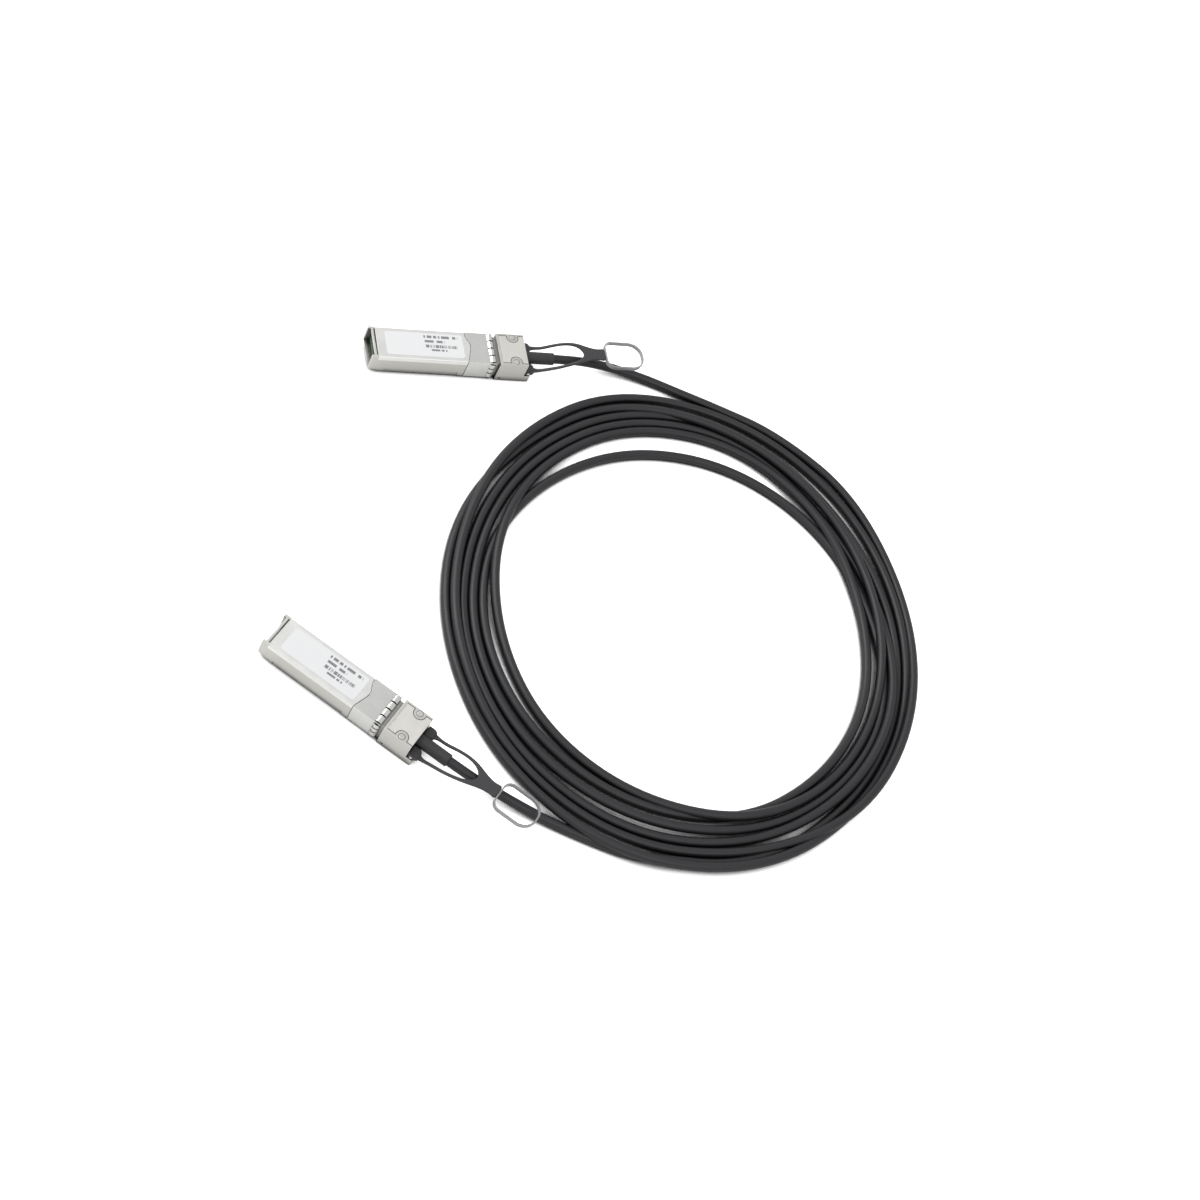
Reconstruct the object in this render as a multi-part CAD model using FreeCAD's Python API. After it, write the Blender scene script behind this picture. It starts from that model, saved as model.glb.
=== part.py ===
import FreeCAD, Part
import math
import os

# Direct attach copper cable: two pluggable ends joined by one coiled twin-axial cable.
# Millimetres, +Z up. The frame's origin is the middle of plug b's rear underside, which lies
# on the table; plug b points along -X. Each plug is modelled in its own frame (x runs from the
# nose to the cable, y across, z up from the table) and is then turned and set in its place.

V = FreeCAD.Vector

# cable
cable_d = 3.5                # jacket diameter
sleeve_d = 4.6               # strain relief over the jacket
sleeve_len = 12.4            # strain relief behind the rear wall
cable_z = 5.5                # height of the cable's axis where it leaves a plug

# plug body
body_w = 13.7
body_h = 8.6
body_lift = 1.0              # underside of the body above the table
wall = 0.9                   # side walls of the body
floor_t = 1.2
nose_chamfer_len = 7.0
nose_chamfer_h = 1.4
nose_lip_h = 1.7             # front lip above the underside
nose_bar_x = 1.1             # bridge bar across the open nose
nose_bar_len = 0.8
nose_bar_t = 0.7
ledge_depth = 0.25           # shallow ledge along the lower side
ledge_h = 1.7
ledge_x0, ledge_x1 = 6.0, 34.5

# top cover and label
cover_x0 = 2.5
cover_t = 0.55
cover_flange = 1.9
cover_round = 0.45
label_x0, label_w = 5.8, 10.6
label_gap = 1.3              # plain cover between the label and the collar
label_t = 0.10
label_recess = 0.08
label_corner = 1.0

# spring collar that earths the plug to its cage
collar_x0 = 37.7             # mean place of the curved front edge
collar_wave = 1.0            # how far that edge swings back at its crest
collar_dip = 0.6             # how far it swings forward beside the crest
collar_t = 0.25
collar_foot = 2.2            # width of the strips folded under the body
finger_x0 = 45.6
finger_len = 2.3
finger_rise = 0.5
finger_gap = 0.55
top_fingers = 4
side_fingers = 3
finger_root = 0.3            # plain sheet in front of and behind a row of slits

# rear housing
rear_x0 = 49.5
rear_len = 11.0
rear_w = 14.2
rear_top = 9.9               # above the table
rear_wall = 1.0
shelf_len = 2.3              # step that the tab's roots sit on
shelf_h = 3.3
groove_len = 1.5             # open groove in front of the rear housing
groove_depth = 0.8
plate_t = 1.2
plate_gap = 0.05
plate_rim = 0.85             # housing edge that shows beside the plate
ledge_z = 5.4                # underside of the ledges that carry the plate
ear_r = 2.3
rivet_r = 1.1
rivet_len = 3.2
rivet_proud = 0.15
rivet_x = 55.9
rivet_inset = 1.45           # rivet's axis from the housing's side
dimple_r, dimple_depth = 0.4, 0.4
dimple_x, dimple_z = 51.3, 1.3

# paddle card
card_x0, card_len = 1.6, 34.4
card_side_gap = 0.45         # card to the body's side walls
card_end_gap = 0.7           # card to the end of its room
tongue_w, tongue_len = 9.2, 6.0
card_t = 1.0
card_z = 4.9                 # underside of the card
pad_count, pad_pitch, pad_w, pad_len, pad_t = 10, 0.8, 0.5, 2.4, 0.06
chip_size, chip_h, chip_x = 3.0, 0.9, 18.0
wire_d = 1.1
wire_pitch = 1.25
wire_room = 0.7              # air over the wires in their channel
clamp_len = 4.6
clamp_w = 5.8
clamp_drop = 2.4             # clamp below the cable's axis

# latch rocker
latch_w = 2.8
latch_side_gap = 0.2
pivot_x, pivot_z = 46.5, 1.95
pivot_r, pivot_len = 0.5, 6.4
pivot_gap = 0.05
lever_t = 1.15
lever_x0 = 39.3
latch_end_gap = 0.6
lever_z = 1.2                # underside of the lever
boss_front, boss_back = 1.5, 2.0   # thicker part in front of and behind the pivot
boss_rise, boss_run = 0.25, 2.0
post_inset = 0.3             # hook post behind the lever's front
post_len, post_h, post_nose = 2.6, 1.05, 0.6
ramp_x0, ramp_run, ramp_rise = 52.3, 2.0, 1.0
tail_x1 = 54.7
tail_z, tail_t = 1.85, 0.75
slot_top = 3.5

# release slide
travel = 2.0
bar_x0, bar_len = 51.0, 1.2
bar_z, bar_h = 2.9, 1.6
arm_in, arm_t = 5.1, 0.8
arm_z, arm_h = 3.5, 1.6
arm_gap = 0.08
arm_cover = 0.3              # tab behind the arms' ends
spring_y, spring_od, spring_wire, spring_turns = 3.95, 1.4, 0.3, 6

# pull tab
tab_gap = 0.15               # tab to rear wall at rest
tab_t = 1.8
tab_root_h = 2.7
tab_root_len = 2.6
tab_half = 6.9
tab_corner = 1.5             # straight side behind the roots
tab_len = 32.0
eye_start, eye_end = 3.4, 23.1
eye_front, eye_front_half = 1.2, 3.6
belly_x, belly = 10.0, 6.35   # half widths of the outline, and their places behind the wall
shoulder_x, shoulder = 16.5, 5.15
neck_x, neck = 22.0, 3.75
yoke_x, yoke_half = 27.0, 2.7
arm_width = 1.7
sleeve_room = 0.3            # air between the sleeve and the roots
pin_r, pin_len = 0.55, 2.6
pin_back, pin_up = 1.5, 0.9   # pin behind the rear wall and above the arms' underside
pin_proud = 0.12

# loop of clear strip at the tab's end
loop_len, loop_w = 15.6, 12.0
loop_near, loop_far = 3.2, 5.4   # corner radii at the tab and at the free end
loop_t, loop_h = 0.6, 1.4

# where things lie
rear_mid = rear_x0 + (rear_len + shelf_len) / 2
plug_b_nose = V(-rear_mid, 0, 0)
plug_b_turn = 0.0
plug_b_rise = 2.8            # how far the tab climbs above its roots
plug_a_x, plug_a_y = -98.9, 122.7
plug_a_nose = V(plug_a_x, plug_a_y, 0)
plug_a_turn = 41.3
plug_a_rise = 5.2
coil_x, coil_y = 54.6, 109.0
coil_a, coil_b = 90.2, 101.2 # half widths of the coil outside
coil_in = 71.0               # radius of the open middle
coil_h = 7.0
coil_round = 2.6

body_top = body_lift + body_h
rear_x1 = rear_x0 + rear_len
shelf_x1 = rear_x1 + shelf_len
sleeve_x1 = rear_x1 + sleeve_len
label_len = collar_x0 - collar_dip * collar_wave - label_gap - label_x0
rivet_y = rear_w / 2 - rivet_inset
card_room_w = body_w - 2 * wall
card_w = card_room_w - 2 * card_side_gap
card_room_x1 = card_x0 + card_len + card_end_gap
tab_x0 = rear_x1 + tab_gap
tab_x1 = rear_x1 + tab_len
tab_hole_x0, tab_hole_x1 = rear_x1 + eye_start, rear_x1 + eye_end
pin_x, pin_z = rear_x1 + pin_back, arm_z + pin_up
tall = 2 * rear_top          # higher than any piece


def box(x0, x1, y0, y1, z0, z1):
    return Part.makeBox(x1 - x0, y1 - y0, z1 - z0, V(x0, y0, z0))


def mid_box(x0, x1, width, z0, z1):
    """A box centred on the plug's middle plane."""
    return box(x0, x1, -width / 2, width / 2, z0, z1)


def prism_xz(points, width):
    """Side profile carried across the plug, centred on its middle plane."""
    wire = Part.makePolygon([V(x, -width / 2, z) for x, z in points + points[:1]])
    return Part.Face(wire).extrude(V(0, width, 0))


def mirrored(shape):
    return shape.mirror(V(0, 0, 0), V(0, 1, 0))


def cross_pin(x, z, radius, length):
    """A round bar across the plug, centred on its middle plane."""
    return Part.makeCylinder(radius, length, V(x, -length / 2, z), V(0, 1, 0))


def both_sides(shape):
    return [shape, mirrored(shape)]


def rounded_plan(x0, length, width, radius, z0, height, far_radius=None):
    """A flat plate with rounded corners in plan, those at its far end with a radius of their own."""
    plate = mid_box(x0, x0 + length, width, z0, z0 + height)
    upright = [e for e in plate.Edges if abs(e.Vertexes[0].Z - e.Vertexes[-1].Z) > height / 2]
    plate = plate.makeFillet(radius, [e for e in upright if e.Vertexes[0].X < x0 + length / 2])
    far = [e for e in plate.Edges if min(v.X for v in e.Vertexes) > x0 + length - 1e-6
           and abs(e.Vertexes[0].Z - e.Vertexes[-1].Z) > height / 2]
    return plate.makeFillet(far_radius or radius, far)


def spline(points):
    curve = Part.BSplineCurve()
    curve.interpolate(points)
    return curve.toShape()


def tube_x(x0, x1, y, z, radius):
    return Part.makeCylinder(radius, x1 - x0, V(x0, y, z), V(1, 0, 0))


def collar_zone(shift):
    """Everything behind the collar's wavy front edge, moved forward by shift."""
    knots = [(-1.0, -collar_dip), (-0.5, -collar_dip), (-0.2, 0.5), (0.12, 1.0), (0.32, -0.2),
             (0.5, -collar_dip), (1.0, -collar_dip)]
    crest = [V(collar_x0 + swing * collar_wave - shift, y * body_w, 0) for y, swing in knots]
    back = finger_x0 + finger_len
    rest = Part.makePolygon([crest[-1], V(back, body_w, 0), V(back, -body_w, 0), crest[0]])
    return Part.Face(Part.Wire([spline(crest)] + rest.Edges)).extrude(V(0, 0, 2 * body_top))


def collar_skin(thickness):
    """Open-bottomed band of the body's outside, thickness deep."""
    band = mid_box(0, rear_x0, body_w, body_lift, body_top)
    inside = mid_box(-1, rear_x0 + 1, body_w - 2 * thickness,
                     body_lift + thickness, body_top - thickness)
    gap = mid_box(-1, rear_x0 + 1, body_w - 2 * collar_foot, 0, body_lift + 2 * thickness)
    return band.cut(inside).cut(gap)


def spring_finger(width):
    """One bowed finger, its ends on z = 0 and rising to finger_rise."""
    x0, x1 = finger_x0, finger_x0 + finger_len
    mid = (x0 + x1) / 2
    outer = Part.Arc(V(x0, 0, 0), V(mid, 0, finger_rise), V(x1, 0, 0))
    inner = Part.Arc(V(x1, 0, -collar_t), V(mid, 0, finger_rise - collar_t), V(x0, 0, -collar_t))
    ends = [Part.LineSegment(V(x1, 0, 0), V(x1, 0, -collar_t)),
            Part.LineSegment(V(x0, 0, -collar_t), V(x0, 0, 0))]
    edges = [outer.toShape(), ends[0].toShape(), inner.toShape(), ends[1].toShape()]
    return Part.Face(Part.Wire(edges)).extrude(V(0, width, 0)).translated(V(0, -width / 2, 0))


def finger_row(count, span):
    """Evenly spaced fingers over a flat of the body, with a slit at each side of each."""
    pitch = span / count
    return [spring_finger(pitch - finger_gap).translated(V(0, (i - (count - 1) / 2) * pitch, 0))
            for i in range(count)]


def emi_collar():
    sheet = collar_skin(collar_t).common(collar_zone(0))
    window = mid_box(finger_x0, finger_x0 + finger_len + 1, body_w - 2 * collar_t, body_top - 1, body_top + 1)
    side_span = body_h - 2 * collar_t - 2 * finger_root
    side_z = body_lift + body_h / 2
    side_window = box(finger_x0, finger_x0 + finger_len + 1, body_w / 2 - 1, body_w / 2 + 1,
                      side_z - side_span / 2, side_z + side_span / 2)
    sheet = sheet.cut(window)
    fingers = [f.translated(V(0, 0, body_top)) for f in finger_row(top_fingers, body_w - 2 * collar_t)]
    for finger in finger_row(side_fingers, side_span):
        upright = finger.rotated(V(0, 0, 0), V(1, 0, 0), -90).translated(V(0, body_w / 2, side_z))
        fingers += both_sides(upright)
    for opening in both_sides(side_window):
        sheet = sheet.cut(opening)
    return sheet.fuse(fingers).removeSplitter()


def top_cover():
    x1 = collar_x0 + 2 * collar_wave
    outer = mid_box(cover_x0, x1, body_w, body_top - cover_flange, body_top)
    long_edges = [e for e in outer.Edges
                  if abs(e.Length - (x1 - cover_x0)) < 1e-6 and e.Vertexes[0].Z > body_top - 0.01]
    outer = outer.makeFillet(cover_round, long_edges)
    inside = mid_box(cover_x0 - 1, rear_x0 + 1, body_w - 2 * cover_t,
                     body_top - cover_flange - 1, body_top - cover_t)
    recess = rounded_plan(label_x0, label_len, label_w, label_corner,
                          body_top - label_recess, 1)
    return outer.cut(inside).cut(collar_zone(collar_t)).cut(recess)


def label():
    return rounded_plan(label_x0, label_len, label_w, label_corner,
                        body_top - label_recess, label_t)


def body_block():
    """Outside of the front body, with the sloped underside of the nose."""
    lip = body_lift + nose_chamfer_h
    profile = [(0, lip), (nose_chamfer_len, body_lift), (rear_x0, body_lift),
               (rear_x0, body_top), (0, body_top)]
    block = prism_xz(profile, body_w)
    strip = box(ledge_x0, ledge_x1, body_w / 2 - ledge_depth, body_w,
                0, body_lift + ledge_h)
    for cut in both_sides(strip):
        block = block.cut(cut)
    return block


def wire_channel(x0):
    return mid_box(x0, rear_x0 + rear_wall + 0.01, clamp_w, card_z - card_t,
                   card_z + card_t + wire_d + wire_room)


def body_cavity():
    """Room for the card, open upward under the cover and forward through the nose."""
    room = mid_box(nose_bar_x, card_room_x1, card_room_w, body_lift + floor_t, body_top + 1)
    mouth = mid_box(-1, nose_bar_x + 1, card_room_w, body_lift + nose_lip_h, body_top + 1)
    room = room.fuse(mouth)
    for ledge in both_sides(box(card_x0 + tongue_len, card_room_x1, tongue_w / 2,
                                card_room_w / 2, 0, card_z)):
        room = room.cut(ledge)
    return room.fuse(wire_channel(0))


def cover_seat():
    """What the cover takes from the top of the body."""
    skin = mid_box(cover_x0, rear_x0, body_w + 2, body_top - cover_flange, body_top + 1)
    core = mid_box(cover_x0 - 1, rear_x0, body_w - 2 * cover_t, 0, body_top - cover_t)
    return skin.cut(core).cut(collar_zone(collar_t))


def rear_block():
    block = mid_box(rear_x0, rear_x1, rear_w, 0, rear_top)
    return block.fuse(mid_box(rear_x1, shelf_x1, rear_w, 0, shelf_h))


def ear(side, radius):
    return Part.makeCylinder(radius, rear_top, V(rivet_x, side * rivet_y, 0))


def rear_plate_zone(clearance):
    """Plan of the rear cover plate with its two notches, over the full height."""
    half = rear_w / 2 - plate_rim - clearance
    zone = mid_box(rear_x0 + rear_wall + clearance, rear_x1, 2 * half, 0, rear_top + 1)
    for side in (-1, 1):
        zone = zone.cut(ear(side, ear_r + clearance).fuse(ear(side, ear_r + clearance).translated(V(0, 0, 2))))
    return zone


def rear_plate():
    slab = mid_box(rear_x0, rear_x1, rear_w, rear_top - plate_t, rear_top)
    return slab.common(rear_plate_zone(plate_gap))


def rear_cavities():
    """Plate seat, cable pocket, slide room, rear wall bore and arm slots."""
    room_x0, room_x1 = rear_x0 + rear_wall, rear_x1 - rear_wall
    seat = box(rear_x0 - 1, rear_x1 + 1, -rear_w, rear_w, rear_top - plate_t, rear_top + 1).common(rear_plate_zone(0))
    pocket = mid_box(room_x0 - 0.01, room_x1, clamp_w, ledge_z - 1, rear_top)
    room = mid_box(room_x0, room_x1, 2 * (arm_in + arm_t + arm_gap), floor_t / 2, ledge_z)
    bore = tube_x(room_x1 - 1, rear_x1 + 1, 0, cable_z, sleeve_d / 2)
    slots = both_sides(box(room_x1 - 1, rear_x1 + 1, arm_in - arm_gap, arm_in + arm_t + arm_gap,
                           arm_z - arm_gap, arm_z + arm_h + arm_gap))
    shelf_relief = mid_box(rear_x1, shelf_x1 + 1, sleeve_d, cable_z - sleeve_d / 2, cable_z)
    return [seat, pocket, room, bore, shelf_relief] + slots


def rivet_holes():
    return [Part.makeCylinder(rivet_r, rivet_len, V(rivet_x, side * rivet_y, rear_top - rivet_len))
            for side in (-1, 1)]


def lower_housing():
    shape = body_block().cut(body_cavity()).cut(cover_seat())
    bar = mid_box(nose_bar_x, nose_bar_x + nose_bar_len, body_w, body_top - nose_bar_t, body_top)
    shape = shape.fuse(bar)
    recess = collar_skin(collar_t).common(collar_zone(collar_t))
    groove_skin = mid_box(rear_x0 - groove_len, rear_x0, body_w + 2, body_lift - 1, body_top + 1)
    groove = groove_skin.cut(mid_box(0, rear_x0, body_w - 2 * groove_depth, body_lift - 2, body_top - groove_depth))
    shape = shape.cut(recess).cut(groove).fuse(rear_block())
    for cut in rear_cavities() + rivet_holes():
        shape = shape.cut(cut)
    slot_w = latch_w + 2 * latch_side_gap
    shape = shape.cut(mid_box(lever_x0 - latch_end_gap, rear_x0 + rear_wall + 0.01, slot_w, -1, slot_top))
    shape = shape.cut(wire_channel(rear_x0 - 1))
    shape = shape.cut(latch_pin())
    for side in (-1, 1):
        shape = shape.cut(Part.makeCylinder(dimple_r, dimple_depth,
                          V(dimple_x, side * rear_w / 2, dimple_z), V(0, -side, 0)))
    return shape.removeSplitter()


def cover_rivets():
    rivets = []
    for side in (-1, 1):
        rivet = Part.makeCylinder(rivet_r, rivet_len + rivet_proud,
                                  V(rivet_x, side * rivet_y, rear_top - rivet_len))
        crown = [e for e in rivet.Edges if e.Vertexes[0].Z > rear_top and e.Closed]
        rivets.append(rivet.makeChamfer(rivet_proud, crown))
    return Part.makeCompound(rivets)


def circuit_card():
    tongue = mid_box(card_x0, card_x0 + tongue_len + 1, tongue_w, card_z, card_z + card_t)
    front = [e for e in tongue.Edges if abs(e.Vertexes[0].X - card_x0) < 1e-6
             and abs(e.Vertexes[-1].X - card_x0) < 1e-6 and e.Length > card_t + 0.1]
    tongue = tongue.makeChamfer(card_t / 4, front)
    board = mid_box(card_x0 + tongue_len, card_x0 + card_len, card_w, card_z, card_z + card_t)
    return tongue.fuse(board).removeSplitter()


def edge_contacts():
    pads = []
    for i in range(pad_count):
        y = (i - (pad_count - 1) / 2) * pad_pitch
        for z in (card_z - pad_t, card_z + card_t):
            x0 = card_x0 + card_t / 2
            pads.append(box(x0, x0 + pad_len, y - pad_w / 2, y + pad_w / 2, z, z + pad_t))
    return Part.makeCompound(pads)


def memory_chip():
    return mid_box(chip_x, chip_x + chip_size, chip_size, card_z + card_t, card_z + card_t + chip_h)


def wire_pairs():
    z = card_z + card_t + wire_d / 2
    x0 = card_x0 + card_len - pad_len
    x1 = rear_x1 - rear_wall - clamp_len
    return Part.makeCompound([tube_x(x0, x1, (i - 1.5) * wire_pitch, z, wire_d / 2) for i in range(4)])


def cable_clamp():
    x1 = rear_x1 - rear_wall
    block = mid_box(x1 - clamp_len, x1, clamp_w, cable_z - clamp_drop, rear_top - plate_t)
    edges = [e for e in block.Edges if abs(e.Vertexes[0].Y - e.Vertexes[-1].Y) < 1e-6
             and e.Vertexes[0].Z < cable_z and e.Vertexes[-1].Z < cable_z
             and abs(e.Length - clamp_len) < 1e-6]
    return block.makeFillet(clamp_drop / 2, edges)


def strain_relief():
    sleeve = tube_x(rear_x1 - rear_wall, sleeve_x1, 0, cable_z, sleeve_d / 2)
    end = [e for e in sleeve.Edges if e.Closed and e.Vertexes[0].X > rear_x1]
    return sleeve.makeChamfer((sleeve_d - cable_d) / 4, end)


def latch():
    """Rocking lever: hook post below its front, ramp on its tail."""
    top, tail_top = lever_z + lever_t, tail_z + tail_t
    profile = [(lever_x0, lever_z), (pivot_x + boss_back, lever_z),
               (pivot_x + boss_back + boss_run, tail_z), (tail_x1, tail_z),
               (tail_x1, tail_top + ramp_rise), (ramp_x0 + ramp_run, tail_top + ramp_rise),
               (ramp_x0, tail_top), (pivot_x + boss_back, top + boss_rise),
               (pivot_x - boss_front, top + boss_rise), (pivot_x - boss_front - boss_run, top),
               (lever_x0, top)]
    x0 = lever_x0 + post_inset
    x1 = x0 + post_len
    plan = [V(x0, -post_nose / 2, 0), V(x1, -latch_w / 2, 0), V(x1, latch_w / 2, 0), V(x0, post_nose / 2, 0)]
    post = Part.Face(Part.makePolygon(plan + plan[:1])).extrude(V(0, 0, post_h + lever_t / 2))
    post.translate(V(0, 0, lever_z - post_h))
    bore = cross_pin(pivot_x, pivot_z, pivot_r + pivot_gap, latch_w + 2)
    return prism_xz(profile, latch_w).fuse(post).cut(bore).removeSplitter()


def latch_pin():
    return cross_pin(pivot_x, pivot_z, pivot_r, pivot_len)


def release_slide():
    """Crossbar over the latch's tail and two arms that leave through the rear wall."""
    reach = arm_in + arm_t
    bar = mid_box(bar_x0, bar_x0 + bar_len, 2 * reach, bar_z, bar_z + bar_h)
    arm = box(bar_x0, tab_x0 + tab_root_len - arm_cover, arm_in, reach, arm_z, arm_z + arm_h)
    hole = cross_pin(pin_x, pin_z, pin_r, 2 * rear_w)
    return bar.fuse(both_sides(arm)).cut(hole).removeSplitter()


def return_springs():
    """Two small compression springs between the crossbar and the rear wall."""
    length = rear_x1 - rear_wall - bar_x0 - bar_len
    pitch = (length - spring_wire) / spring_turns
    mean_r = (spring_od - spring_wire) / 2
    springs = []
    for side in (-1, 1):
        helix = Part.makeHelix(pitch, pitch * spring_turns, mean_r)
        start = V(mean_r, 0, 0)
        ring = Part.Wire(Part.makeCircle(spring_wire / 2, start, V(0, mean_r * 2 * math.pi, pitch)))
        coil = Part.Wire(helix).makePipeShell([ring], True, True)
        coil.rotate(V(0, 0, 0), V(0, 1, 0), 90)
        coil.translate(V(bar_x0 + bar_len + spring_wire / 2, side * spring_y, bar_z + bar_h / 2))
        springs.append(coil)
    return Part.makeCompound(springs)


def tab_edge(offset):
    """Half outline of the tab in plan, moved inward by offset."""
    return [V(x, y - offset, 0) for x, y in
            ((rear_x1 + tab_root_len + tab_corner, tab_half), (rear_x1 + belly_x, belly),
             (rear_x1 + shoulder_x, shoulder), (rear_x1 + neck_x, neck), (rear_x1 + yoke_x, yoke_half))]


def closed_plan(upper, height):
    """Plan face from an upper edge (a list of edges) and its mirror image, extruded."""
    lower = [e.mirror(V(0, 0, 0), V(0, 1, 0)) for e in upper]
    wire = Part.Wire(Part.__sortEdges__(upper + lower))
    return Part.Face(wire).extrude(V(0, 0, height))


def tab_plan(height):
    outer = tab_edge(0)
    corner = V(tab_x0, tab_half, 0)
    upper = [Part.makeLine(V(tab_x0, 0, 0), corner), Part.makeLine(corner, outer[0]),
             spline(outer), Part.makeLine(outer[-1], V(tab_x1, yoke_half, 0)),
             Part.makeLine(V(tab_x1, yoke_half, 0), V(tab_x1, 0, 0))]
    sheet = closed_plan(upper, height)
    inner = tab_edge(arm_width)[:-1]
    hole = [spline([V(tab_hole_x0, 0, 0), V(tab_hole_x0 + eye_front, eye_front_half, 0)] + inner
                   + [V(tab_hole_x1, 0, 0)])]
    return sheet.cut(closed_plan(hole, height))


def tab_band(rise):
    """Side view of the tab: level at its roots, climbing to a level yoke."""
    z0 = arm_z + tab_root_h / 2
    z1 = z0 + rise
    line = [V(rear_x1 - 1, 0, z0), V(rear_x1 + 6, 0, z0), V(rear_x1 + 12, 0, z0 + 0.25 * rise),
            V(tab_hole_x1 - 5, 0, z0 + 0.8 * rise), V(tab_hole_x1, 0, z1), V(tab_x1 + 1, 0, z1)]
    half = tab_t / 2
    low = spline([p - V(0, 0, half) for p in line])
    high = spline([p + V(0, 0, half) for p in line])
    ends = [Part.makeLine(p - V(0, 0, half), p + V(0, 0, half)) for p in (line[0], line[-1])]
    face = Part.Face(Part.Wire(Part.__sortEdges__([low, high] + ends)))
    return face.extrude(V(0, 2 * rear_w, 0)).translated(V(0, -rear_w, 0))


def pull_tab(rise):
    strip = tab_plan(tall).common(tab_band(rise))
    cheek = box(tab_x0, tab_x0 + tab_root_len, sleeve_d / 2 + sleeve_room, tab_half, arm_z, arm_z + tab_root_h)
    slot = box(rear_x1, tab_x0 + tab_root_len - arm_cover, arm_in, arm_in + arm_t, arm_z, arm_z + arm_h)
    cable_way = mid_box(rear_x1, tab_hole_x0 + 1.5, sleeve_d + 2 * sleeve_room, 0, tall)
    shape = strip.fuse(both_sides(cheek))
    for cut in [cable_way, cross_pin(pin_x, pin_z, pin_r, 2 * rear_w)] + both_sides(slot):
        shape = shape.cut(cut)
    return shape.removeSplitter()


def tab_pins():
    return Part.makeCompound([Part.makeCylinder(
        pin_r, pin_len, V(pin_x, side * (tab_half + pin_proud), pin_z), V(0, -side, 0)) for side in (-1, 1)])


def pull_loop(rise):
    z = arm_z + tab_root_h / 2 + rise - loop_h / 2
    outer = rounded_plan(tab_x1, loop_len, loop_w, loop_near, z, loop_h, loop_far)
    inner = rounded_plan(tab_x1 + loop_t, loop_len - 2 * loop_t, loop_w - 2 * loop_t,
                         loop_near - loop_t, z - 1, loop_h + 2, loop_far - loop_t)
    return outer.cut(inner)


def placed(shape, nose, turn):
    return shape.rotated(V(0, 0, 0), V(0, 0, 1), turn).translated(nose)


def exit_point(nose, turn):
    angle = math.radians(turn)
    return nose + V(sleeve_x1 * math.cos(angle), sleeve_x1 * math.sin(angle), cable_z)


def cord_tube(points, name):
    """Straight runs joined by tangent arcs, swept by the jacket's circle."""
    edges, start, length = [], points[0], 0.0
    for before, corner, after in zip(points, points[1:], points[2:]):
        into, out = corner - before, after - corner
        half = into.getAngle(out) / 2
        radius = 0.45 * min(into.Length, out.Length) / math.tan(half)
        cut = radius * math.tan(half)
        into.normalize()
        out.normalize()
        first, last = corner - into * cut, corner + out * cut
        bisector = (out - into).normalize()
        middle = corner + bisector * (radius / math.cos(half) - radius)
        edges += [Part.LineSegment(start, first).toShape(), Part.Arc(first, middle, last).toShape()]
        print(name, "radius", round(radius, 1))
        start = last
    edges.append(Part.LineSegment(start, points[-1]).toShape())
    path = Part.Wire(edges)
    circle = Part.Wire(Part.makeCircle(cable_d / 2, points[0], points[1] - points[0]))
    tube = path.makePipeShell([circle], True, False)
    expected = math.pi * cable_d ** 2 / 4 * path.Length
    print(name, "length", round(path.Length, 1), "volume ratio", round(tube.Volume / expected, 4))
    return tube


def cable_coil():
    """Outer shape of the wound cable: a flat ring, a little longer in y than in x."""
    middle = V(coil_x, coil_y, 0)
    rim = Part.Ellipse(V(0, coil_b, 0), V(coil_a, 0, 0), V(0, 0, 0)).toShape()
    disc = Part.Face(Part.Wire(rim)).extrude(V(0, 0, coil_h))
    ring = disc.cut(Part.makeCylinder(coil_in, coil_h + 2, V(0, 0, -1)))
    edges = [e for e in ring.Edges if e.Closed and abs(e.BoundBox.ZLength) < 0.01]
    return ring.makeFillet(coil_round, edges).translated(middle)


lead_b_points = [exit_point(plug_b_nose, plug_b_turn), V(21.2, 0.0, 5.5), V(29.5, 0.1, 4.0),
                 V(42.0, 1.5, 2.6), V(56.0, 4.6, 1.85), V(72.0, 9.2, 1.8), V(88.0, 15.8, 1.8),
                 V(101.5, 23.6, 1.8)]
lead_a_points = [exit_point(plug_a_nose, plug_a_turn), V(-40.79, 173.75, 5.5), V(-34.4, 179.1, 4.0),
                 V(-24.6, 185.8, 2.6), V(-11.8, 191.6, 1.85), V(4.0, 196.7, 1.8), V(21.0, 200.8, 1.8),
                 V(37.0, 203.3, 1.8)]


def export(shape, name):
    shape.exportStep("parts/%s.step" % name)
    solids = shape.Solids
    print(name, len(solids), shape.isValid(), round(sum(s.Volume for s in solids), 2))


def build_plug(letter, nose, turn, rise):
    pieces = {
        "lower_housing": lower_housing(), "top_cover": top_cover(), "label": label(),
        "emi_collar": emi_collar(), "rear_cover": rear_plate(), "cover_rivets": cover_rivets(),
        "circuit_card": circuit_card(), "edge_contacts": edge_contacts(), "memory_chip": memory_chip(),
        "wire_pairs": wire_pairs(), "cable_clamp": cable_clamp(), "strain_relief": strain_relief(),
        "latch": latch(), "latch_pin": latch_pin(), "release_slide": release_slide(),
        "return_springs": return_springs(), "pull_tab": pull_tab(rise), "tab_pins": tab_pins(),
        "pull_loop": pull_loop(rise),
    }
    for name, shape in pieces.items():
        export(placed(shape, nose, turn), name + "_" + letter)


os.makedirs("parts", exist_ok=True)
build_plug("a", plug_a_nose, plug_a_turn, plug_a_rise)
build_plug("b", plug_b_nose, plug_b_turn, plug_b_rise)
export(cord_tube(lead_a_points, "cable_lead_a"), "cable_lead_a")
export(cord_tube(lead_b_points, "cable_lead_b"), "cable_lead_b")
export(cable_coil(), "cable_coil")
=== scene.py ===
import math
import bmesh
import bpy
import numpy as np
from mathutils import Matrix, Vector


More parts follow.
